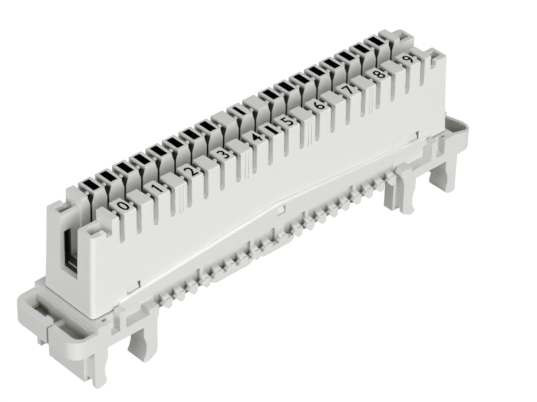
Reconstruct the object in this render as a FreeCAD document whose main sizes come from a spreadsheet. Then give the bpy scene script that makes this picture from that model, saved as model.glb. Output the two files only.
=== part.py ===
import FreeCAD, Part
import math
import os
import re
import Sketcher

# Punch down wiring block: an upper housing with two rows of contact slots, a base housing with
# wire combs, end loops and two pairs of clamp legs, and the metal contacts between them.
# X runs along the rows, the numbered front row is at -Y, Z is up with the leg tips at zero.

os.makedirs("parts", exist_ok=True)
doc = FreeCAD.newDocument("wiring_block")
sheet = doc.addObject("Spreadsheet::Sheet", "Sizes")
rows, cuts = [], []


def size(name, value):
    """Put one named size in the sheet, a number or a formula of earlier names."""
    rows.append(name)
    sheet.set("A%d" % len(rows), name)
    sheet.set("B%d" % len(rows), value if isinstance(value, str) else "%g" % value)
    sheet.setAlias("B%d" % len(rows), name)
    sheet.recompute()


def bound(text):
    """The same formula with every name read from the sheet."""
    return re.sub(r"[a-z][a-z_]+", lambda m: "Sizes." + m.group(0), str(text))


def value(text):
    """The number that a formula of sheet names gives now."""
    return float(sheet.evalExpression(bound(text)))


def tie(item, prop, text):
    """Bind a property to a formula of sheet names."""
    item.setExpression(prop, bound(text))


def origin_plane(body, role):
    """One of the body's own origin planes or axes."""
    return [f for f in body.Origin.OriginFeatures if f.Role == role][0]


def outline(body, role, label, corners):
    """A closed sketch; a corner with a third entry starts an arc of that radius, minus bulging right."""
    sketch = body.newObject("Sketcher::SketchObject", label)
    sketch.AttachmentSupport = [(origin_plane(body, role), "")]
    sketch.MapMode = "FlatFace"
    spots = [FreeCAD.Vector(value(c[0]), value(c[1]), 0) for c in corners]
    count = len(spots)
    ends = []
    for i, spot in enumerate(spots):
        after = spots[(i + 1) % count]
        ends.append((1, 2))
        if len(corners[i]) == 2:
            sketch.addGeometry(Part.LineSegment(spot, after), False)
            continue
        radius = value(corners[i][2])
        first, last = (after, spot) if radius > 0 else (spot, after)
        chord = last - first
        lift = math.sqrt(max(radius * radius - chord.Length ** 2 / 4, 0))
        middle = (first + last) / 2 + FreeCAD.Vector(-chord.y, chord.x, 0).normalize() * lift
        turns = [math.atan2((p - middle).y, (p - middle).x) for p in (first, last)]
        circle = Part.Circle(middle, FreeCAD.Vector(0, 0, 1), abs(radius))
        sketch.addGeometry(Part.ArcOfCircle(circle, *turns), False)
        if radius > 0:
            ends[-1] = (2, 1)
    for i in range(count):
        j = (i + 1) % count
        sketch.addConstraint(Sketcher.Constraint("Coincident", i, ends[i][1], j, ends[j][0]))
    for i, spot in enumerate(spots):
        for kind, number, text, axis in (("DistanceX", spot.x, corners[i][0], -2),
                                         ("DistanceY", spot.y, corners[i][1], -1)):
            if text == 0:
                sketch.addConstraint(Sketcher.Constraint("PointOnObject", i, ends[i][0], axis))
            else:
                k = sketch.addConstraint(Sketcher.Constraint(kind, -1, 1, i, ends[i][0], number))
                tie(sketch, "Constraints[%d]" % k, text)
        if len(corners[i]) == 3:
            k = sketch.addConstraint(Sketcher.Constraint("Radius", i, abs(value(corners[i][2]))))
            tie(sketch, "Constraints[%d]" % k, str(corners[i][2]).lstrip("-"))
    return sketch


def solid(role, label, corners, low, high):
    """A body whose outline is drawn out between two levels of the third axis."""
    body = doc.addObject("PartDesign::Body", label)
    sketch = outline(body, role, label + "_outline", corners)
    tie(sketch, ".AttachmentOffset.Base.z", "-(%s)" % high if role == "XZ_Plane" else low)
    pad = body.newObject("PartDesign::Pad", label + "_pad")
    pad.Profile = sketch
    pad.Refine = False
    tie(pad, "Length", "(%s) - (%s)" % (high, low))
    return body


def box(label, *limits):
    """A straight block given by its six limits, each pair in either order."""
    block = doc.addObject("Part::Box", label)
    for axis, side, i in (("x", "Length", 0), ("y", "Width", 2), ("z", "Height", 4)):
        low, high = sorted(limits[i:i + 2], key=value)
        tie(block, ".Placement.Base." + axis, low)
        tie(block, side, "(%s) - (%s)" % (high, low))
    return block


def joined(label, shapes, refine=False):
    """Several shapes made into one."""
    union = doc.addObject("Part::MultiFuse", label)
    union.Shapes = shapes
    union.Refine = refine
    return union


def less(label, base, tools, refine=False):
    """A shape with several others taken out of it."""
    tool = doc.addObject("Part::Compound", label + "_tools")
    tool.Links = tools
    cut = doc.addObject("Part::Cut", label)
    cut.Base = base
    cut.Tool = tool
    cut.Refine = refine
    cuts.append(cut)
    return cut


def copy(source, label, x=0, y=0, turn=0):
    """A linked copy, moved and turned about the vertical."""
    link = doc.addObject("App::Link", label)
    link.LinkedObject = source
    tie(link, ".Placement.Base.x", x)
    tie(link, ".Placement.Base.y", y)
    tie(link, ".Placement.Rotation.Angle", turn)
    return link


SIDES = (("right", ""), ("left", "-"))

# Rows of teeth and slots.
size("tooth_pitch", 4.79)
size("slot_count", 20)
size("row_half", "=tooth_pitch * (slot_count - 1) / 2")
size("crown_top", 40.73)
size("crown_half", 7.78)
size("crown_edge", 0.22)
size("channel_half", 2.49)
size("mouth_wide", 1.45)
size("mouth_deep", 1.3)
size("mouth_foot", 33.5)
size("slit_wide", 0.4)
size("slit_foot", 31)
size("funnel_wide", 1.95)
size("funnel_level", 40.3)
size("funnel_neck", 38)
size("funnel_deep", 1)
size("pit_foot", 38.7)
size("stripe_wide", 0.35)
size("stripe_deep", 0.12)
size("stripe_apart", 0.45)
size("fin_out", 48.2)

# Upper housing.
size("tower_top", 38.45)
size("tower_reach", 53.65)
size("foot_reach", 54.47)
size("housing_foot", 17)
size("foot_half", 8.24)
size("flare_level", 26.5)
size("flare_half", 7.95)
size("corner_round", 1.1)
size("corner_sharp", 0.35)
size("gap_half", 2.95)
size("channel_floor", 24.9)
size("floor_thick", 2.4)
size("cavity_top", "=channel_floor - floor_thick")
size("shell_wall", 1.25)
size("cavity_half", "=foot_half - shell_wall - 0.04")
size("cavity_reach", 51.5)
size("well_reach", 52.8)
size("well_in", 4)
size("well_out", 6.45)
size("port_reach", 50.9)
size("port_top", 34.1)
size("notch_reach", 49.9)
size("notch_foot", 36.95)
size("window_in_left", 40.85)
size("window_out_left", 44.6)
size("window_in_right", 41.9)
size("window_out_right", 45.2)
size("window_low", 18.9)
size("window_high", 21.25)
size("panel_proud", 0.1)
size("panel_low", 19.5)
size("panel_high", 22)
size("panel_out", 49.6)
size("panel_in", 36.4)

# Contacts: a blade at forty-five degrees across each slot with a fork for the wire.
size("blade_wide", 3.4)
size("blade_thick", 0.5)
size("blade_turn", 45)
size("blade_row", 5.15)
size("blade_top", 39.9)
size("blade_foot", 23)
size("blade_play", 0.05)
size("fork_wide", 0.35)
size("fork_foot", 31)
size("stem_wide", 1.6)

# Base housing.
size("deck_reach", 55.2)
size("deck_top", 16.9)
size("deck_foot", 10.5)
size("seat_half", 7.7)
size("seat_reach", 53.9)
size("tray_floor", 12.5)
size("front_half", 10.92)
size("back_wall", 8.1)
size("skirt_half", 8.9)
size("skirt_play", 0.03)
size("skirt_in", "=foot_half + skirt_play")
size("skirt_reach", 47.3)
size("skirt_low", 18.6)
size("skirt_peak", 22.2)
size("bay_top", 16.4)
size("flange_top", 12.9)
size("rib_wide", 1)
size("rib_near", 8.5)
size("rib_far", 23.7)
size("panel_half", 1.45)

# Wire comb.
size("comb_pitch", 3.77)
size("comb_first", 4.64)
size("comb_tips", 10.2)
size("head_deep", 1)
size("shaft_wide", 1.9)
size("shaft_top", 14.7)
size("head_level", 12.95)
size("head_foot", 11)
size("head_half", 1.5)

# Clamp legs for two round bars across the block.
size("bar_apart", 95)
size("bar_radius", 6)
size("bar_level", 4.24)
size("clamp_top", 10.27)
size("clamp_in", 42.3)
size("clamp_out", 52.6)
size("leg_back", 5.4)
size("leg_in", 38.4)
size("leg_out", 56.3)
size("leg_in_thick", 37.6)
size("leg_out_thick", 57.2)
size("plate_back", 9.9)
size("step_face", 8.3)
size("notch_low", 2.6)
size("thick_low", 1.3)
size("lip_level", 0.9)
size("lip_in", "=bar_apart / 2 - sqrt(bar_radius ^ 2 - (bar_level - lip_level) ^ 2)")
size("lip_out_level", 1.9)
size("lip_out", "=bar_apart / 2 + sqrt(bar_radius ^ 2 - (bar_level - lip_out_level) ^ 2)")
size("plate_end", 4)
size("slim_out", 0.7)
size("slim_back", 0.7)
size("slim_foot", 5.2)
size("slim_plate", 8.9)
size("slim_low", 2)
size("arc_in_level", "=bar_level + sqrt(bar_radius ^ 2 - (bar_apart / 2 - clamp_in) ^ 2)")
size("arc_out_level", "=bar_level + sqrt(bar_radius ^ 2 - (clamp_out - bar_apart / 2) ^ 2)")

# End loops.
size("loop_reach", 62)
size("loop_top", 15.35)
size("loop_foot", 10.6)
size("loop_round", 3.5)
size("loop_inner", 60.1)
size("loop_side", 0.9)
size("hole_round", 2)
size("floor_sheet", 0.7)
size("lip_inner", 61.05)
size("lip_corner", -8.9)
size("dip_from", 6.5)
size("dip_deep", 1)
size("nose_radius", 1.4)
size("nose_end", -1.5)
size("slit_gap", 0.7)

# Upper housing: the cross section drawn out along the rows, the ends taken back, the uprights
# rounded, two opposite ones more than the others.
block = solid("YZ_Plane", "block", [
    ("-foot_half", "housing_foot"), ("foot_half", "housing_foot"), ("flare_half", "flare_level"),
    ("crown_half", "crown_top - crown_edge"), ("crown_half - crown_edge", "crown_top"),
    ("crown_edge - crown_half", "crown_top"), ("-crown_half", "crown_top - crown_edge"),
    ("-flare_half", "flare_level")], "-foot_reach", "foot_reach")
ends = [solid("XZ_Plane", "end_" + end, [
    (sign + "foot_reach", "housing_foot - 1"), (sign + "foot_reach", "housing_foot"),
    (sign + "tower_reach", "tower_top"), (sign + "fin_out", "tower_top"), (sign + "fin_out", "crown_top + 1"),
    (sign + "(foot_reach + 1)", "crown_top + 1"), (sign + "(foot_reach + 1)", "housing_foot - 1")],
    "-foot_half - 1", "foot_half + 1") for end, sign in SIDES]
taper = less("taper", block, ends)
doc.recompute()
rounding = doc.addObject("Part::Fillet", "uprights")
rounding.Base = taper
rounding.Edges = [(n, radius, radius) for n, e in enumerate(taper.Shape.Edges, 1)
                  for radius in [value("corner_round" if e.CenterOfMass.x * e.CenterOfMass.y > 0
                                       else "corner_sharp")]
                  if e.BoundBox.ZLength > 5 and abs(e.BoundBox.XMin) > value("tower_reach") - 1
                  and abs(e.BoundBox.YMin) > value("crown_half") - 1]
extras, hollows = [rounding], []
hollows.append(box("channel", "-fin_out - 1", "fin_out + 1", "-channel_half", "channel_half",
                   "channel_floor", "crown_top + 1"))
hollows.append(box("cavity", "-cavity_reach", "cavity_reach", "-cavity_half", "cavity_half",
                   "housing_foot - 1", "cavity_top"))
for end, sign in SIDES:
    hollows.append(box("gap_" + end, sign + "fin_out", sign + "(foot_reach + 1)", "-gap_half", "gap_half",
                       "channel_floor", "crown_top + 1"))
    hollows.append(box("port_" + end, sign + "port_reach", sign + "well_reach", "-well_in - 0.1",
                       "well_in + 0.1", "channel_floor", "port_top"))
    hollows.append(box("window_" + end, sign + "window_in_" + end, sign + "window_out_" + end,
                       "-foot_half - 1", "foot_half + 1", "window_low", "window_high"))
    for row, side in (("rear", ""), ("front", "-")):
        name = end + "_" + row
        hollows.append(box("well_" + name, sign + "fin_out", sign + "well_reach", side + "well_in",
                           side + "well_out", "channel_floor", "tower_top + 1"))
        hollows.append(box("notch_" + name, sign + "fin_out", sign + "notch_reach",
                           side + "(well_out - 0.1)", side + "(foot_half + 1)",
                           "notch_foot", "tower_top + 1"))
        low, high = sorted((sign + "panel_in", sign + "panel_out"), key=value)
        extras.append(solid("YZ_Plane", "panel_" + name, [
            (side + "(foot_half - 0.4)", "panel_low"),
            (side + "(foot_half + panel_proud - 0.08)", "panel_low"),
            (side + "(foot_half + panel_proud - 0.15)", "panel_high"),
            (side + "(foot_half - 0.4)", "panel_high")], low, high))
for row, side, low, high in (("rear", "", -1.45, 0.75), ("front", "-", -0.75, 1.45)):
    extras.append(solid("YZ_Plane", "lug_" + row, [
        (side + "(foot_half - 0.4)", 19.2), (side + "(skirt_half - 0.2)", 19.2),
        (side + "(skirt_half - 0.2)", 19.8), (side + "(foot_half - 0.4)", 21)], low, high))
shell = joined("housing_shell", extras)

# What one slot of the front row takes out of the housing, at the middle of the row.
slot = joined("slot_void", [
    solid("XZ_Plane", "mouth", [
        ("-mouth_wide / 2", "mouth_foot + mouth_wide * 0.4"), ("-mouth_wide * 0.2", "mouth_foot"),
        ("mouth_wide * 0.2", "mouth_foot"), ("mouth_wide / 2", "mouth_foot + mouth_wide * 0.4"),
        ("mouth_wide / 2", "crown_top + 1"), ("-mouth_wide / 2", "crown_top + 1")],
        "-foot_half - 1", "mouth_deep - crown_half"),
    solid("XY_Plane", "entry", [
        ("-mouth_wide / 2", "mouth_deep - crown_half - 0.1"),
        ("mouth_wide / 2", "mouth_deep - crown_half - 0.1"),
        ("funnel_wide / 2", "0.5 - channel_half"), ("-funnel_wide / 2", "0.5 - channel_half")],
        "funnel_level - 0.3", "crown_top + 1"),
    box("pit", "-mouth_wide / 2", "mouth_wide / 2", "mouth_deep - crown_half - 0.1",
        "-channel_half - funnel_deep", "pit_foot", "crown_top"),
    box("slit", "-slit_wide / 2", "slit_wide / 2", "-blade_row", "0.5 - channel_half",
        "slit_foot", "crown_top + 1"),
    solid("XZ_Plane", "funnel", [
        ("-slit_wide / 2", "funnel_neck"), ("slit_wide / 2", "funnel_neck"),
        ("funnel_wide / 2", "funnel_level"), ("-funnel_wide / 2", "funnel_level")],
        "-channel_half - funnel_deep - 0.1", "0.5 - channel_half")])
groove = box("groove", "-blade_wide / 2 - blade_play", "blade_wide / 2 + blade_play",
             "-blade_thick / 2 - blade_play", "blade_thick / 2 + blade_play",
             "cavity_top - 1", "blade_top + blade_play * 2")
groove_void = doc.addObject("Part::Compound", "blade_void")
groove_void.Links = [groove]
stripe = doc.addObject("Part::Compound", "stripe_void")
stripe.Links = [box("stripe_" + end, sign + "(stripe_apart - stripe_wide / 2)",
                    sign + "(stripe_apart + stripe_wide / 2)", "-foot_half", "stripe_deep - crown_half",
                    "mouth_foot - 0.2", "crown_top + 1") for end, sign in SIDES]

# Contact: fork, blade and the stem that stands on the floor of the base.
contact = solid("XZ_Plane", "contact", [
    ("-stem_wide / 2", "tray_floor"), ("stem_wide / 2", "tray_floor"), ("stem_wide / 2", "blade_foot"),
    ("blade_wide / 2", "blade_foot + 0.6"), ("blade_wide / 2", "blade_top"),
    ("fork_wide / 2", "blade_top - 0.9"), ("fork_wide / 2", "fork_foot"),
    ("-fork_wide / 2", "fork_foot"), ("-fork_wide / 2", "blade_top - 0.9"),
    ("-blade_wide / 2", "blade_top"), ("-blade_wide / 2", "blade_foot + 0.6"),
    ("-stem_wide / 2", "blade_foot")], "-blade_thick / 2", "blade_thick / 2")
pieces = []
for row, side, turn in (("front", "-", 0), ("rear", "", 180)):
    for i in range(int(value("slot_count"))):
        along, name = "%d * tooth_pitch - row_half" % i, "%s_%02d" % (row, i + 1)
        hollows.append(copy(slot, "slot_" + name, along, 0, turn))
        hollows.append(copy(groove_void, "groove_" + name, along, side + "blade_row", "blade_turn"))
        pieces.append(copy(contact, "contact_" + name, along, side + "blade_row", "blade_turn"))
for i in (3, 7, 11, 15):
    hollows.append(copy(stripe, "stripe_%02d" % i, "%d.5 * tooth_pitch - row_half" % i))
upper = less("upper_housing", shell, hollows, True)

# Earth contact: a bent strip at each end of the channel floor.
earth = solid("XZ_Plane", "earth_strip", [
    (-52.7, "channel_floor"), (-52.2, "channel_floor"), (-51.6, "channel_floor + 1.3"),
    (-51, "channel_floor + 1.9"), (-49.5, "channel_floor + 1.9"), (-49.5, "channel_floor"),
    (-49, "channel_floor"), (-49, "channel_floor + 2.4"), (-51.2, "channel_floor + 2.4"),
    (-52, "channel_floor + 1.6")],
    "0.1 - channel_half", "channel_half - 0.1")
pieces += [copy(earth, "earth_contact_left"), copy(earth, "earth_contact_right", turn=180)]

# Base housing, the middle: a tray under the upper housing with the seat and the latch tongues.
tray = less("tray", joined("tray_block", [
    box("deck", "-deck_reach", "deck_reach", "-back_wall", "back_wall", "deck_foot", "deck_top"),
    box("seat", "-seat_reach", "seat_reach", "-seat_half", "seat_half", "deck_top - 1", "housing_foot")]),
    [box("hollow", "-cavity_reach", "cavity_reach", "0.1 - cavity_half", "cavity_half - 0.1",
         "tray_floor", "housing_foot + 1")])
latches = []
for end, sign in SIDES:
    low, high = sorted((sign + "(window_in_%s + 0.2)" % end,
                        sign + "(window_out_%s - 0.2)" % end), key=value)
    for row, side in (("rear", ""), ("front", "-")):
        latches.append(solid("YZ_Plane", "latch_%s_%s" % (end, row), [
            (side + "(cavity_half - 0.9)", "tray_floor - 0.5"),
            (side + "(cavity_half - 0.1)", "tray_floor - 0.5"),
            (side + "(cavity_half - 0.1)", "window_low + 0.1"),
            (side + "(foot_half - 0.3)", "window_low + 0.1"),
            (side + "(foot_half - 0.3)", "window_low + 0.5"),
            (side + "(cavity_half - 0.1)", "window_high - 0.1"),
            (side + "(cavity_half - 0.9)", "window_high - 0.1")], low, high))

# The front skirt with its gable, its ledge, ribs and window.
skirt = less("skirt", solid("YZ_Plane", "skirt_wall", [
    ("-skirt_half", "bay_top"), ("-skirt_in", "bay_top"), ("-skirt_in", "housing_foot"),
    ("-skirt_in + (foot_half - flare_half) * (skirt_peak - housing_foot) / (flare_level - housing_foot)",
     "skirt_peak"), ("-skirt_half", "skirt_peak")], "-skirt_reach", "skirt_reach"),
    [solid("XZ_Plane", "gable_" + end, [
        (0, "skirt_peak"), (sign + "skirt_reach", "skirt_low"), (sign + "(skirt_reach + 1)", "skirt_low"),
        (sign + "(skirt_reach + 1)", "skirt_peak + 1"), (0, "skirt_peak + 1")],
        "-skirt_half - 1", "1 - flare_half") for end, sign in SIDES]
    + [box("skirt_window", -0.9, 1.65, "-skirt_half - 1", "1 - flare_half", 19, 21.25)])
side_parts = [skirt, box("ledge", "-skirt_reach", "skirt_reach", "-skirt_half", "0.5 - back_wall",
                         "bay_top", "deck_top")]
for end, sign in SIDES:
    for label in ("near", "far"):
        side_parts.append(box("rib_%s_%s" % (label, end), sign + "(rib_%s - rib_wide / 2)" % label,
                              sign + "(rib_%s + rib_wide / 2)" % label, "-skirt_half", "0.5 - back_wall",
                              "deck_foot + 0.6", "deck_top"))
side_parts.append(box("centre_panel", "-panel_half", "panel_half", "-skirt_half", "0.5 - back_wall",
                      "deck_foot + 0.6", "deck_top"))

# The wings at both ends of the front side: flange, end blocks, walls and pockets.
wings = [solid("XZ_Plane", "wing_left", [
    ("-deck_reach", "deck_foot"), (-38.6, "deck_foot"), (-37.9, 11.6), (-37.9, 14.3), (-40.7, 14.3),
    (-40.7, "flange_top"), ("-skirt_reach", "flange_top"), ("-skirt_reach", 17.9), (-49, 17.9),
    (-49, "flange_top"), (-51.6, "flange_top"), (-51.6, "deck_top"), ("-deck_reach", "deck_top")],
    "-front_half", "0.1 - skirt_half")]
wings.append(solid("XZ_Plane", "wing_right", [
    (38.2, "deck_foot"), ("deck_reach", "deck_foot"), ("deck_reach", "deck_top"), (51.6, "deck_top"),
    (51.6, "flange_top"), (49, "flange_top"), (49, 17.9), ("skirt_reach", 17.9),
    ("skirt_reach", "flange_top"), (40.7, "flange_top"), (40.7, 14.3), (38, 14.3), (37, 13.4), (38, 11.7)],
    "-front_half", "0.1 - skirt_half"))
for end, sign in SIDES:
    wings.append(box("wing_back_" + end, sign + "38", sign + "deck_reach", "-skirt_half", "0.5 - back_wall",
                     "deck_foot", "flange_top"))
    wings.append(box("wing_block_" + end, sign + "38", sign + "40.7", "-skirt_half", "0.5 - back_wall",
                     "deck_foot", 14.3))
    wings.append(box("wing_end_" + end, sign + "skirt_reach", sign + "deck_reach", "-skirt_half",
                     "0.5 - back_wall", "deck_foot", "deck_top"))
side_parts.append(less("wings", joined("wing_blocks", wings), [
    box("top_hole_" + end, sign + "51.7", sign + "52.9", -9.8, -8.85, "deck_top - 1.5", "deck_top + 1")
    for end, sign in SIDES]))

# The left end loop: a ring with a floor, its end wall split beside a rounded nose, a low rib across.
ring = less("ring", solid("XY_Plane", "ring_block", [
    ("0.2 - deck_reach", "-front_half"), ("loop_round - loop_reach", "-front_half", "loop_round"),
    ("-loop_reach", "loop_round - front_half"), ("-loop_reach", "front_half - loop_round", "loop_round"),
    ("loop_round - loop_reach", "front_half"), ("0.2 - deck_reach", "front_half")], "loop_foot", "loop_top"),
    [solid("XY_Plane", "ring_hole", [
        ("-deck_reach", "loop_side - front_half"),
        ("hole_round - loop_inner", "loop_side - front_half", "hole_round"),
        ("-loop_inner", "loop_side - front_half + hole_round"),
        ("-loop_inner", "front_half - loop_side - hole_round", "hole_round"),
        ("hole_round - loop_inner", "front_half - loop_side"), ("-deck_reach", "front_half - loop_side")],
        "loop_foot + floor_sheet", "loop_top + 1"),
     box("slit_end", "-loop_reach - 1", "0.1 - loop_inner", "nose_end - slit_gap", "nose_end",
         "loop_foot - 1", "loop_top + 1"),
     box("drain", -58.2, -55.6, 3.6, 9, "loop_foot - 1", "loop_foot + 2")])
side_parts += [
    ring,
    box("deck_step", "-deck_reach - 0.35", "0.1 - deck_reach", "loop_side - front_half - 0.1",
        "front_half - loop_side + 0.1", "loop_foot", "loop_top - 0.9"),
    solid("XY_Plane", "nose", [
        ("-loop_reach", "nose_end + nose_radius * 2"),
        ("-loop_reach", "nose_end + nose_radius", "-nose_radius"),
        ("nose_radius - loop_reach", "nose_end", "-nose_radius"),
        ("nose_radius * 2 - loop_reach", "nose_end + nose_radius"),
        ("nose_radius * 2 - loop_reach", "nose_end + nose_radius * 2")], "loop_foot + 0.6", "loop_top"),
    box("loop_rib", "-loop_inner - 0.2", "0.1 - deck_reach", 0, 1.1, "loop_foot", "loop_foot + 1.9")]

# Clamp legs: the profile of both legs with the bar opening. The legs that face the left end have
# a notch behind their front plate and a thicker back.
tips = {"left": [("-lip_out - 0.1", 0.8), ("-lip_out - 0.8", 0.35), ("1.1 - leg_out", 0),
                 ("0.4 - leg_out", 0.3), ("-leg_out", 1.3)],
        "right": [("lip_out + 0.1", 0.8), ("lip_out + 0.9", 0), ("leg_out - 0.3", 0), ("leg_out", 0.4)]}
clamps = [solid("XZ_Plane", "clamp_" + end, [
    (sign + "leg_in", "deck_foot + 0.5"), (sign + "leg_in", 1.9), (sign + "(leg_in + 0.5)", 1.2),
    (sign + "(leg_in + 2.7)", 0), (sign + "(lip_in - 0.6)", 0), (sign + "(lip_in - 0.1)", 0.35),
    (sign + "lip_in", "lip_level", hug + "bar_radius"),
    (sign + "clamp_in", "arc_in_level"), (sign + "clamp_in", "clamp_top"),
    (sign + "clamp_out", "clamp_top"), (sign + "clamp_out", "arc_out_level", hug + "bar_radius"),
    (sign + "lip_out", "lip_out_level")] + tips[end] + [(sign + "leg_out", "deck_foot + 0.5")],
    "-front_half", "-leg_back") for end, sign, hug in (("left", "-", "-"), ("right", "", ""))]
trims = []
for label, a, b in (("left", "-leg_out_thick - 1", "-bar_apart / 2"),
                    ("right", "leg_in_thick - 1", "bar_apart / 2")):
    trims.append(box("leg_notch_" + label, a, b, "-plate_back", "-step_face", -1, "notch_low"))
    trims.append(box("leg_trim_" + label, a, b, "-step_face - 0.1", "1 - leg_back", -1, "thick_low"))
side_parts += [
    less("legs", joined("clamps", clamps), trims),
    box("end_plate", "-leg_out_thick", "0.5 - leg_out", "-step_face", "plate_end",
        "thick_low", "deck_foot + 0.5"),
    box("leg_inner_back", "leg_in_thick", "leg_in + 1", "-step_face", "-leg_back",
        "thick_low", "deck_foot + 0.5")]

# One prong of the wire comb: a shaft out of the wall with a drop shaped head.
prong = joined("prong", [
    solid("YZ_Plane", "shaft", [
        ("0.3 - back_wall", "shaft_top"), ("0.3 - back_wall", "head_level - 0.3"),
        ("0.2 - comb_tips", "head_foot + 0.9"), ("0.2 - comb_tips", "head_level + 0.45")],
        "0.25 - shaft_wide / 2", "0.25 + shaft_wide / 2"),
    solid("XZ_Plane", "head", [
        ("-head_half", "head_level"), ("1.8 - head_half", "head_level + 0.75"),
        ("head_half", "head_level + 0.55"), ("head_half - 0.25", "head_foot + 0.35"),
        ("head_half - 1.3", "head_foot")], "-comb_tips", "head_deep - comb_tips")])
side_parts.append(copy(prong, "prong_middle"))
for i in range(9):
    for end, sign in SIDES:
        side_parts.append(copy(prong, "prong_%s_%d" % (end, i + 1),
                               sign + "(comb_first + comb_pitch * %d)" % i))
for label, a, b in (("left", -22, -9.2), ("middle", -7.6, 3.5)):
    side_parts.append(solid("XZ_Plane", "web_" + label, [
        (a, "head_foot + 1.5"), (a + 0.4, "head_foot + 0.6"), (a + 1.7, "head_foot - 0.1"),
        (b - 1.2, "head_foot - 0.1"), (b, "head_foot + 0.6"), (b, "head_foot + 1.1"),
        (b - 0.6, "head_foot + 1.5")], "0.05 - comb_tips", "0.5 - comb_tips + head_deep"))

# The rear side is the front side after half a turn; the rear leg on the left is slimmer and notched.
front = joined("base_front", side_parts)
# The right loop has a thinner end wall that dips, and a lip that slopes down to it from the deck.
lip = less("lip", solid("XY_Plane", "lip_block", [
    ("deck_reach - 0.2", "-front_half"), ("loop_reach - loop_round", "-front_half", "-loop_round"),
    ("loop_reach", "loop_round - front_half"), ("lip_inner", "loop_round - front_half"),
    ("lip_inner", "lip_corner"), ("lip_inner - 1.15", "loop_side - front_half"),
    ("deck_reach - 0.2", "loop_side - front_half")], "loop_top - 0.5", "deck_top"),
    [solid("XZ_Plane", "lip_slope", [
        ("deck_reach", "deck_top"), ("loop_reach", "loop_top"), ("loop_reach + 1", "loop_top"),
        ("loop_reach + 1", "deck_top + 1"), ("deck_reach", "deck_top + 1")], "-front_half - 1", 0)])
whole = joined("base_blocks", [tray, front, copy(front, "base_rear", turn=180), lip] + latches)
base = less("base_housing", whole, [
    solid("XY_Plane", "loop_wide", [
        ("loop_inner - 1", "loop_side - front_half"), ("lip_inner - 1.15", "loop_side - front_half"),
        ("lip_inner", "lip_corner"), ("lip_inner", "nose_end - 0.1"), ("loop_inner - 1", "nose_end - 0.1")],
        "loop_foot + floor_sheet", "deck_top + 1"),
    solid("YZ_Plane", "loop_dip", [
        ("-dip_from", "loop_top"), ("nose_end", "loop_top - dip_deep"), ("nose_end", "deck_top + 1"),
        ("-dip_from", "deck_top + 1")], "loop_inner - 1", "loop_reach + 1"),
    box("slim_side", "-leg_out_thick - 1", "slim_out - leg_out", "slim_foot", "front_half + 1",
        -1, "deck_foot"),
    box("slim_back", "-leg_out_thick - 1", "1 - clamp_out", "front_half - slim_back", "front_half + 1",
        -1, "deck_foot"),
    box("slim_notch", "-leg_out_thick - 1", "-bar_apart / 2", "slim_foot", "slim_plate", -1, "slim_low")],
    True)
doc.recompute()

# Check every object and write each piece out.
for item in doc.Objects:
    if {"Invalid", "Error"} & set(item.State):
        raise ValueError("%s did not compute" % item.Label)
for cut in cuts:
    if cut.Shape.Volume >= cut.Base.Shape.Volume:
        raise ValueError("%s took nothing away" % cut.Label)
for piece in [upper, base] + pieces:
    shape = piece.Shape
    if shape.isNull() or not shape.isValid() or len(shape.Solids) != 1:
        raise ValueError("%s is not one valid solid" % piece.Label)
    shape.exportStep("parts/%s.step" % piece.Label)
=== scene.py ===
import math

import bpy
import numpy as np
from mathutils import Euler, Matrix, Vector


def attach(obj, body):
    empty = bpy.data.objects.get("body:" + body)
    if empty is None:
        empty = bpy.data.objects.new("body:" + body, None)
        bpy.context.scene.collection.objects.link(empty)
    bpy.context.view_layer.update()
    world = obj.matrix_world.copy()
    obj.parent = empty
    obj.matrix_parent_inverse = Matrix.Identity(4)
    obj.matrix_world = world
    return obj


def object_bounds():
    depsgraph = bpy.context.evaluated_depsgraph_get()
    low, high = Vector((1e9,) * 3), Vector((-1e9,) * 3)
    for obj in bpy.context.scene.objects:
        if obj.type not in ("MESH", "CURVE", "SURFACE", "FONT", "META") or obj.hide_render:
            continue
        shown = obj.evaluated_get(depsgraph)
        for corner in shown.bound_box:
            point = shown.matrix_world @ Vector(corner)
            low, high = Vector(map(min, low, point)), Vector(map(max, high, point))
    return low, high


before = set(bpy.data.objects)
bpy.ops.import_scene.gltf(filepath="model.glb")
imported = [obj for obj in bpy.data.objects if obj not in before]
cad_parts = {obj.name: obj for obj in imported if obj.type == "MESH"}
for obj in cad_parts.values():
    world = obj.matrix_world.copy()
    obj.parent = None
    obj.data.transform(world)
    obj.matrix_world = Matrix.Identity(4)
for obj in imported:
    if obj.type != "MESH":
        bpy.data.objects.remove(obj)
limits = [[float(v) for v in row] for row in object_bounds()]
scene = bpy.context.scene
scene.view_settings.view_transform = "Standard"

# Camera. It stands off the left end and the front row, looking down at about 36 degrees, with a
# long lens and a shift that only sets the block where the photograph frames it.
cam_data = bpy.data.cameras.new("camera")
cam_data.sensor_width = 36
cam_data.lens = 176.56
cam_data.shift_x = 0.02697
cam_data.shift_y = -0.04568
cam_data.clip_start = 0.01
cam = bpy.data.objects.new("camera", cam_data)
scene.collection.objects.link(cam)
azimuth, elevation, roll = [math.radians(angle) for angle in (43.052, 36.088, 1.145)]
camera_away, camera_aim = 0.5983, Vector((0, 0, 0.025))
turn = Euler((0, 0, -azimuth)).to_matrix() @ Euler((math.pi / 2 - elevation, 0, 0)).to_matrix()
turn = turn @ Euler((0, 0, roll)).to_matrix()
cam.matrix_world = turn.to_4x4()
cam.location = camera_aim + turn.col[2] * camera_away
scene.camera = cam


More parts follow.
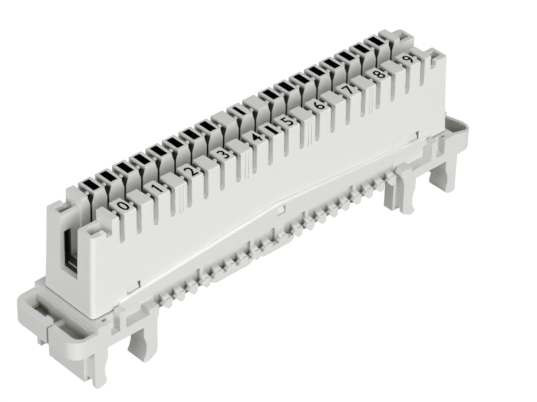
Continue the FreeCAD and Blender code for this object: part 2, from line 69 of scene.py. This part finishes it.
# Floor and surround. A plain white sheet that the camera and reflections see as white, and that
# still takes the block's soft shadow, under a world that gives an even fill. The shader maths of
# this and every later material is written with wires.
class Wire:
    """A value in a node tree that can be used in ordinary sums."""

    def __init__(self, tree, socket):
        self.tree, self.socket = tree, socket

    def node(self, kind, settings=None, **inputs):
        """A node of one type, with its settings made before its inputs; i6 names input number 6."""
        made = self.tree.nodes.new(kind)
        for key, setting in (settings or {}).items():
            setattr(made, key, setting)
        for key, given in inputs.items():
            entry = made.inputs[int(key[1:]) if key[0] == "i" and key[1:].isdigit() else key]
            if isinstance(given, Wire):
                given.feed(entry)
            else:
                entry.default_value = given
        return Wire(self.tree, made.outputs[0] if len(made.outputs) else None)

    def feed(self, entry):
        """Links the value to an input socket."""
        self.tree.links.new(self.socket, entry)

    def math(self, operation, *others):
        """One Math node of this value and up to two more."""
        given = {"i%d" % (n + 1): other for n, other in enumerate(others)}
        return self.node("ShaderNodeMath", {"operation": operation}, i0=self, **given)

    def __add__(self, other):
        return self.math("ADD", other)

    __radd__ = __add__

    def __mul__(self, other):
        return self.math("MULTIPLY", other)

    __rmul__ = __mul__

    def __sub__(self, other):
        return self.math("SUBTRACT", other)

    def __rsub__(self, other):
        return (self * -1).math("ADD", other)

    def size(self):
        """The value without its sign."""
        return self.math("ABSOLUTE")

    def most(self, *others):
        """The largest of this value and the others."""
        largest = self
        for other in others:
            largest = largest.math("MAXIMUM", other)
        return largest

    def ramp(self, low, high):
        """Zero below low, one above high and a straight rise between, or the reverse."""
        return ((self - low) * (1 / (high - low))).math("MAXIMUM", 0).math("MINIMUM", 1)

    def tint(self, plain, full):
        """A colour that goes from plain where this value is zero to full where it is one."""
        mix = self.node("ShaderNodeMix", {"data_type": "RGBA"}, i0=self, i6=plain, i7=full)
        return Wire(self.tree, mix.socket.node.outputs[2])


def looked_at(tree):
    """One for rays of the camera, of reflections and through clear matter, zero for other light."""
    tree.nodes.clear()
    path = tree.nodes.new("ShaderNodeLightPath")
    rays = [Wire(tree, path.outputs["Is %s Ray" % kind]) for kind in ("Camera", "Glossy", "Transmission")]
    return rays[0].most(*rays[1:])


fill_colour, fill_level = (0.95, 0.97, 1, 1), 0.27
floor_half, floor_shade, floor_grey = 2.0, 0.1, 0.3
white_colour = (1, 1, 1, 1)
world = bpy.data.worlds.new("world")
scene.world = world
world.use_nodes = True
seen = looked_at(world.node_tree)
fill = seen.node("ShaderNodeBackground", Color=fill_colour, Strength=fill_level)
white = seen.node("ShaderNodeBackground", Color=white_colour, Strength=1.0)
both = seen.node("ShaderNodeMixShader", i0=seen, i1=fill, i2=white)
seen.node("ShaderNodeOutputWorld", Surface=both)

corners = [(a * floor_half, b * floor_half, 0) for a, b in ((-1, -1), (1, -1), (1, 1), (-1, 1))]
mesh = bpy.data.meshes.new("floor")
mesh.from_pydata(corners, [], [(0, 1, 2, 3)])
floor = bpy.data.objects.new("floor", mesh)
scene.collection.objects.link(floor)
paper = bpy.data.materials.new("floor_paper")
paper.use_nodes = True
seen = looked_at(paper.node_tree) * (1 - floor_shade)
matt = seen.node("ShaderNodeBsdfDiffuse", Color=(floor_grey, floor_grey, floor_grey, 1))
glow = seen.node("ShaderNodeEmission", Color=white_colour, Strength=1 / (1 - floor_shade))
both = seen.node("ShaderNodeMixShader", i0=seen, i1=matt, i2=glow)
seen.node("ShaderNodeOutputMaterial", Surface=both)
mesh.materials.append(paper)

# Lamps. A broad soft one in front and above gives most of the light, smaller ones stand off the
# left end and low behind, and a weak one hangs overhead.
lamp_aim = Vector((0, 0, 0.02))


def lamp(name, place, width, power, colour):
    """A square area lamp at a place, turned towards the middle of the block."""
    data = bpy.data.lights.new(name, "AREA")
    data.size = width
    data.energy = power
    data.color = colour
    obj = bpy.data.objects.new(name, data)
    scene.collection.objects.link(obj)
    obj.location = place
    obj.rotation_euler = (lamp_aim - Vector(place)).to_track_quat("-Z", "Y").to_euler()


lamp("front_lamp", (-0.1, -0.95, 0.4), width=0.8, power=9.6, colour=(1, 0.995, 0.985))
lamp("top_lamp", (0.1, 0.1, 1.0), width=0.6, power=0.35, colour=(1, 1, 0.98))
lamp("rear_lamp", (0.2, 0.96, 0.13), width=0.5, power=4.0, colour=(1, 1, 1))
lamp("left_lamp", (-0.95, -0.05, 0.26), width=0.5, power=3.9, colour=(0.97, 0.985, 1))

# Upper housing. One moulding of light grey plastic with a satin face, snapped down on the base.
# Painted shade darkens its slots, slits, end wells, ports, latch gaps and the gap at its foot, while
# painted light makes the channel's rear wall and the sides of the front grooves paler.
pitch, row_half, row_end = 0.00479, 0.045505, 0.04715
plastic_colour = (0.745, 0.74, 0.72, 1)
painted_shade_colour = (0.02, 0.018, 0.012, 1)
painted_light_colour = (0.97, 0.96, 0.93, 1)


def grey_plastic(name, colour):
    """Light grey satin plastic of one colour."""
    material = bpy.data.materials.new(name)
    material.use_nodes = True
    skin = material.node_tree.nodes["Principled BSDF"]
    skin.inputs["Base Color"].default_value = colour
    skin.inputs["Roughness"].default_value = 0.42
    skin.inputs["IOR"].default_value = 1.45
    return material


def object_place(material):
    """The shaded point's X, Y and Z in metres."""
    tree = material.node_tree
    whole = Wire(tree, tree.nodes.new("ShaderNodeTexCoord").outputs["Object"])
    apart = whole.node("ShaderNodeSeparateXYZ", Vector=whole).socket.node
    return [Wire(tree, socket) for socket in apart.outputs]


def box_field(*bands, soft=0.0001):
    """One inside a box and zero outside: the product of a band for each axis, whose two ends lie at
    the given places and are blurred over the soft width."""
    field, blur = 1, soft / 2
    for place, low, high in bands:
        field = field * place.ramp(low - blur, low + blur) * place.ramp(high + blur, high - blur)
    return field


def latch_field(x, y, z, places, half, out, up):
    """One on the upright ends of the latches and zero elsewhere. The rear latches are the front ones
    after half a turn, so a place along the row changes its sign with Y."""
    turned = x * y.math("SIGN")
    ends = [box_field((turned, at - half, at + half), (y.size(), *out), (z, *up)) for at in places]
    return ends[0].most(*ends[1:])


def paint(material, colour):
    """Feeds a worked out colour to the base colour of a material."""
    colour.feed(material.node_tree.nodes["Principled BSDF"].inputs["Base Color"])


def coat(node, material):
    """Gives a node one material."""
    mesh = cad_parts[node].data
    mesh.materials.clear()
    mesh.materials.append(material)


material = grey_plastic("upper_plastic", plastic_colour)
x, y, z = object_place(material)
along, out = x.size(), y.size()
off_slot = (((x + row_half + pitch / 2) * (1 / pitch)).math("FRACT") - 0.5) * pitch

# Painted shade: the slots are darkened towards near black, from just above their foot to just under their
# mouth.
slot_half, slot_taper, slot_blur = 0.001164, 0.062, 0.00003
slot_inner, slot_front, slot_rear = (0.00249, 0.0025), (-0.0066, -0.0063), (0.0075, 0.0071)
slot_foot, slot_mouth = (0.0305, 0.0306), (0.0404, 0.0397)
slot = (off_slot.size() + out * slot_taper - slot_half).ramp(slot_blur, -slot_blur)
slot = slot * out.ramp(*slot_inner) * y.ramp(*slot_front) * y.ramp(*slot_rear)
slot = slot * z.ramp(*slot_foot) * z.ramp(*slot_mouth) * box_field((x, -row_end, row_end))

# Painted shade inside the slits in the channel's rear wall.
slit_half, slit_foot, slit_top = 0.0003, 0.03055, 0.03845
wall_front, wall_back = 0.001925, 0.00305
rear_wall = box_field((y, wall_front, wall_back))
slit = box_field((off_slot, -slit_half, slit_half), (z, slit_foot, slit_top), (x, -row_end, row_end))
slit = slit * rear_wall

sharp = 0.00001
# Painted shade inside the end wells, darker lower down.
well_inner, well_outer, well_depth = (0.0487, 0.05282), (0.002965, 0.006465), (0.0372, 0.0335)
well = box_field((along, *well_inner), (out, *well_outer), soft=sharp) * z.ramp(*well_depth)

# Painted shade inside the ports at both ends of the channel.
port_reach, port_half, port_floor = (0.04895, 0.052875), 0.00295, (0.02445, 0.02493)
port = box_field((along, *port_reach), (y, -port_half, port_half), (z, *port_floor), soft=sharp)

# Painted shadow in the gap at the housing's foot.
foot_level = (0.0172, 0.01712)
foot_gap_shade = z.ramp(*foot_level)

# Painted shade on the upright ends of the latch gaps.
latch = latch_field(x, y, z, places=(0.04085, -0.0452), half=0.00011,
                    out=(0.00715, 0.00816), up=(0.0185, 0.0218))

# Painted light: the lower part of the channel's rear wall is made paler, fading in along the row from the
# left end, for light bounced off the plastic around it.
wall_depth, wall_rise = (0.0385, 0.033), (-0.042, -0.02)
wall_painted_light = rear_wall * z.ramp(*wall_depth) * x.ramp(*wall_rise)

# Painted light: the front grooves are made paler between their foot and their mouth.
groove_half, groove_face, groove_floor = 0.0008, -0.00775, -0.0067
groove_foot, groove_mouth = (0.0333, 0.0343), (0.0402, 0.0396)
groove_light = box_field((off_slot, -groove_half, groove_half), (y, groove_face, groove_floor))
groove_light = groove_light * z.ramp(*groove_foot) * z.ramp(*groove_mouth)

# Painted shade takes the strongest of the dark marks above, towards near black. Painted light takes the
# stronger of the two light marks, towards a paler plastic.
painted_shade = (slot * 0.96).most(slit * 0.95, port * 0.9, well * 0.92, foot_gap_shade * 0.85, latch * 0.6)
painted_light = (wall_painted_light * 0.7).most(groove_light * 0.8)
paint(material, painted_shade.tint(painted_light.tint(plastic_colour, painted_light_colour), painted_shade_colour))
coat("upper_housing", material)

# Base housing. A second moulding of the same plastic, which carries the first and has the combs,
# loops and clamp legs. Painted shade darkens the bays behind the combs, the sides of the ribs, the
# latch gaps and a hollow by the left loop, and an olive painted shade the inside of the loops.
base_colour = (0.69, 0.685, 0.665, 1)
shade_colour = (0.03, 0.03, 0.022, 1)
loop_shade_colour = (0.33, 0.33, 0.26, 1)
material = grey_plastic("base_plastic", base_colour)
x, y, z = object_place(material)
along, out = x.size(), y.size()

# Painted shade in the bays behind the combs, darker lower down.
comb_reach, bay_mouth, bay_depth = 0.0372, (0.0093, 0.0087), (0.0156, 0.0128)
bay_shade = box_field((x, -comb_reach, comb_reach)) * out.ramp(*bay_mouth) * z.ramp(*bay_depth)

# Painted shadow on the bay wall just to the left of each rib.
rib_places = (-0.0237, -0.0085, -0.00095, 0.0085, 0.0237)
rib_fade, rib_side = (-0.0018, -0.0006), (-0.0004, -0.0005)
rib_face, rib_top = (0.0087, 0.0086), (0.0165, 0.0164)
ribs = [(x - place).ramp(*rib_fade) * (x - place).ramp(*rib_side) for place in rib_places]
rib_side_shade = ribs[0].most(*ribs[1:]) * out.ramp(*rib_face) * z.ramp(*rib_top)

# Painted shade on the upright ends of the latch gaps.
latch = latch_field(x, y, z, places=(0.0443, -0.04185), half=0.00015,
                    out=(0.00725, 0.00838), up=(0.0186, 0.0207))

# Painted shade in a hollow at the rear of the left loop.
drain_along, drain_front, drain_rear = (-0.05825, -0.05535), (0.0052, 0.0062), (0.0093, 0.0092)
drain_foot, drain_top = (0.0105, 0.0107), (0.0129, 0.0121)
drain = box_field((x, *drain_along)) * y.ramp(*drain_front) * y.ramp(*drain_rear)
drain = drain * z.ramp(*drain_foot) * z.ramp(*drain_top)

# Painted shade, olive grey: the floors of both loops and the whole of the right loop are darkened.
loop_along, loop_half = (0.05525, 0.06015), 0.009925
loop_foot, loop_top = (0.0109, 0.0111), (0.0128, 0.0112)
loop_floor = box_field((along, *loop_along), (y, -loop_half, loop_half))
loop_floor = loop_floor * z.ramp(*loop_foot) * z.ramp(*loop_top)

right_along, right_half, right_up = (0.05515, 0.06025), 0.010075, (0.010675, 0.01524)
right_loop = box_field((x, *right_along), (y, -right_half, right_half), (z, *right_up))

# Painted shade of the bays, ribs, latches and hollow, towards near black, and olive painted shade in the
# loops.
painted_shade = (bay_shade * 0.62).most(rib_side_shade * 0.35, latch * 0.8, drain * 0.75)
loop_shade = loop_floor.most(right_loop * 0.9)
paint(material, painted_shade.tint(loop_shade.tint(base_colour, loop_shade_colour), shade_colour))
coat("base_housing", material)

# Skirt ridges. The rounded shoulder along the sloping top of the skirt on both sides, of the same
# plastic. It closes the step up to the wall, and a painted highlight on its outer part, strongest
# towards the left, makes it read as a bright line.
shoulder_deep, shoulder_tall, shoulder_drop = 0.0008, 0.00022, 0.0002
skirt_reach, skirt_peak, skirt_low, skirt_face = 0.0472, 0.0222, 0.0186, 0.00893
ridge_highlight_colour, stations, arc_points = (0.92, 0.915, 0.9, 1), 41, 7
highlight_start, highlight_fade = (0.0081, 0.0085), (-0.012, 0.02)


def tube_quads(rings, around):
    """Four-sided faces between neighbouring rings of points, each ring closed on itself."""
    start, point = np.meshgrid(np.arange(rings - 1) * around, np.arange(around), indexing="ij")
    after = (point + 1) % around
    quads = [start + point, start + after, start + around + after, start + around + point]
    return np.stack(quads, 2).reshape(-1, 4).tolist()


def fixed_piece(name, corners, faces, material):
    """A piece with its mesh in place that is fixed to the housings; returns the mesh."""
    mesh = bpy.data.meshes.new(name)
    mesh.from_pydata(corners.tolist(), [], faces)
    mesh.materials.append(material)
    obj = bpy.data.objects.new(name, mesh)
    scene.collection.objects.link(obj)
    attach(obj, "root")
    return mesh


def skirt_ridge(name, way, material):
    """A shoulder carried along the skirt's top, which falls evenly from its peak to both ends. The
    profile is a quarter ellipse, cosine outwards and sine upwards, closed by its own centre."""
    along = np.linspace(-skirt_reach, skirt_reach, stations)
    level = skirt_peak - (skirt_peak - skirt_low) * np.abs(along) / skirt_reach - shoulder_drop
    turns = np.linspace(0, np.pi / 2, arc_points)
    outward = skirt_face - shoulder_deep + np.append(np.cos(turns), 0) * shoulder_deep
    upward = np.append(np.sin(turns), 0) * (shoulder_drop + shoulder_tall)
    around = arc_points + 1
    heights = np.repeat(level, around) + np.tile(upward, stations)
    corners = np.stack([np.repeat(along, around), way * np.tile(outward, stations), heights], 1)
    first, last = list(range(around)), list(range((stations - 1) * around, stations * around))
    faces = [quad[::way] for quad in tube_quads(stations, around)] + [first[::-way], last[::way]]
    fixed_piece(name, corners, faces, material)


material = grey_plastic("ridge_highlight_plastic", plastic_colour)
x, y, z = object_place(material)
# Painted highlight: the outer part of the shoulder is made paler, fully on the left and at three tenths on
# the right.
ridge_highlight = (1 - x.ramp(*highlight_fade) * 0.7) * y.size().ramp(*highlight_start)
paint(material, ridge_highlight.tint(plastic_colour, ridge_highlight_colour))
skirt_ridge("skirt_ridge_front", -1, material)
skirt_ridge("skirt_ridge_rear", 1, material)

# Contacts. Plated spring metal, dull inside the slots, and the darker folded earth strips at both
# ends of the channel, with thin stripes of painted highlight where their folds would catch the light.
contact_colour, earth_colour = (0.13, 0.12, 0.09, 1), (0.022, 0.02, 0.014, 1)
fold_highlight_colour = (0.5, 0.5, 0.46, 1)
fold_pitch, fold_edge = 0.0014, (0.13, 0.05)


def spring_metal(name, colour, rough):
    """Bare spring metal of one colour."""
    material = bpy.data.materials.new(name)
    material.use_nodes = True
    skin = material.node_tree.nodes["Principled BSDF"]
    skin.inputs["Base Color"].default_value = colour
    skin.inputs["Metallic"].default_value = 1
    skin.inputs["Roughness"].default_value = rough
    return material


contact_metal = spring_metal("contact_metal", contact_colour, 0.38)
earth_metal = spring_metal("earth_metal", earth_colour, 0.45)
height = object_place(earth_metal)[2]
# Painted highlight: thin paler stripes every fold_pitch up the earth strips.
fold_highlight = ((height * (1 / fold_pitch)).math("FRACT") - 0.5).size().ramp(*fold_edge)
paint(earth_metal, (fold_highlight * 0.5).tint(earth_colour, fold_highlight_colour))
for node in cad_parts:
    if node.startswith("contact_"):
        coat(node, contact_metal)
    elif node.startswith("earth_"):
        coat(node, earth_metal)

# Row marks. Black ink printed on the tooth tops: a digit on every other front tooth, filled
# blocks on most rear teeth and a thin bar on the middle tooth of each row.
tooth_top, ink_lift = limits[1][2], 0.00003
mark_long, block_wide, block_shift, block_middle = 0.0039, 0.0019, -0.00018, 0.00505
digit_tall, digit_narrow, digit_bold = 0.0034, 0.9, 0.012
digit_shift, digit_middle = 0.0001, -0.0053
ink = bpy.data.materials.new("black_ink")
ink.use_nodes = True
skin = ink.node_tree.nodes["Principled BSDF"]
skin.inputs["Base Color"].default_value = (0.001, 0.001, 0.001, 1)
skin.inputs["Roughness"].default_value = 0.7
skin.inputs["Specular IOR Level"].default_value = 0.0


def blocks(name, centres, wide, middle):
    """Flat rectangles at given X centres, all of one width, at one middle Y."""
    spots = np.repeat(np.asarray(centres), 4)
    xs = spots + np.tile([-wide / 2, wide / 2, wide / 2, -wide / 2], len(centres))
    ys = middle + np.tile([-1, -1, 1, 1], len(centres)) * mark_long / 2
    corners = np.stack([xs, ys, np.full(xs.shape, tooth_top + ink_lift)], 1)
    fixed_piece(name, corners, np.arange(len(xs)).reshape(-1, 4).tolist(), ink)


def digit_place(number):
    """The middle of a digit, on every other tooth of the front row."""
    return np.array([(2 * number - 9) * pitch + digit_shift, digit_middle, tooth_top + ink_lift])


def flat_digit(number):
    """The corners and faces of one digit, one unit tall and centred."""
    curve = bpy.data.curves.new("digit", "FONT")
    curve.body = str(number)
    curve.resolution_u = 4
    curve.offset = digit_bold
    shape = bpy.data.objects.new("digit", curve)
    scene.collection.objects.link(shape)
    flat = bpy.data.meshes.new_from_object(shape.evaluated_get(bpy.context.evaluated_depsgraph_get()))
    points = np.empty(len(flat.vertices) * 3)
    flat.vertices.foreach_get("co", points)
    points = points.reshape(-1, 3)
    faces = [list(face.vertices) for face in flat.polygons]
    bpy.data.objects.remove(shape)
    bpy.data.curves.remove(curve)
    bpy.data.meshes.remove(flat)
    low, high = points.min(0), points.max(0)
    return (points - (low + high) / 2) / (high[1] - low[1]), faces


block_teeth = [tooth for tooth in range(-9, 10) if abs(tooth) > 1]
blocks("rear_block_marks", [tooth * pitch + block_shift for tooth in block_teeth], block_wide, block_middle)
blocks("rear_bar_mark", [-0.0004], wide=0.001, middle=0.00487)
blocks("front_bar_mark", [0.0], wide=0.00105, middle=-0.00538)
corners, faces = [], []
for number in range(10):
    points, polygons = flat_digit(number)
    faces += [[v + len(corners) for v in polygon] for polygon in polygons]
    corners += (points * [digit_tall * digit_narrow, digit_tall, 1] + digit_place(number)).tolist()

# The flag of the digit 1 reaches out further than the typeface draws it, just over the other ink.
flag_root, flag_tip, flag_lift = 0.00005, -0.00075, ink_lift * 0.3
flag = [[flag_root, 0.00165, flag_lift], [flag_tip, 0.0011, flag_lift],
        [flag_tip, 0.00075, flag_lift], [flag_root, 0.0012, flag_lift]]
faces.append([len(corners) + n for n in range(len(flag))])
corners += (np.array(flag) + digit_place(1)).tolist()
fixed_piece("front_digit_marks", np.array(corners), faces, ink)

# Wire nibs. A small rounded bump of the housing plastic on the right wall of every slot, just
# over the contact, that keeps a pressed wire down.
nib_long, nib_out, nib_tall = 0.00055, 0.0005, 0.0004
nib_shift, nib_level, nib_colour = 0.00048, 0.0397, (0.74, 0.73, 0.69, 1)
slots, nib_points, nib_rings = 20, 12, 5

# A nib is an ellipsoid: the cosine of its rise times the cosine and the sine of its turn, and the
# sine of its rise, each times the half size on that axis, with a point closing either end.
turns = np.linspace(0, 2 * np.pi, nib_points + 1)[:-1]
rises = np.linspace(-np.pi / 2, np.pi / 2, nib_rings + 2)[1:-1]
turns, rises = np.meshgrid(turns, rises)
rings = np.stack([np.cos(rises) * np.cos(turns), np.cos(rises) * np.sin(turns), np.sin(rises)], 2)
nib = np.concatenate([rings.reshape(-1, 3), [[0, 0, -1], [0, 0, 1]]]) * [nib_out, nib_long, nib_tall]
top_ring, foot_point = (nib_rings - 1) * nib_points, np.full(nib_points, nib_rings * nib_points)
point = np.arange(nib_points)
after = (point + 1) % nib_points
foot_fan = np.stack([foot_point, after, point], 1)
top_fan = np.stack([foot_point + 1, top_ring + point, top_ring + after], 1)
nib_faces = tube_quads(nib_rings, nib_points) + foot_fan.tolist() + top_fan.tolist()

material = grey_plastic("nib_plastic", nib_colour)
for row, middle in (("front", -0.0047), ("rear", 0.0045)):
    places = np.arange(slots) * pitch - row_half + nib_shift
    centres = np.stack([places, np.full(slots, middle), np.full(slots, nib_level)], 1)
    corners = (centres[:, None] + nib[None]).reshape(-1, 3)
    faces = [[v + n * len(nib) for v in face] for n in range(slots) for face in nib_faces]
    fixed_piece("wire_nibs_" + row, corners, faces, material).shade_smooth()
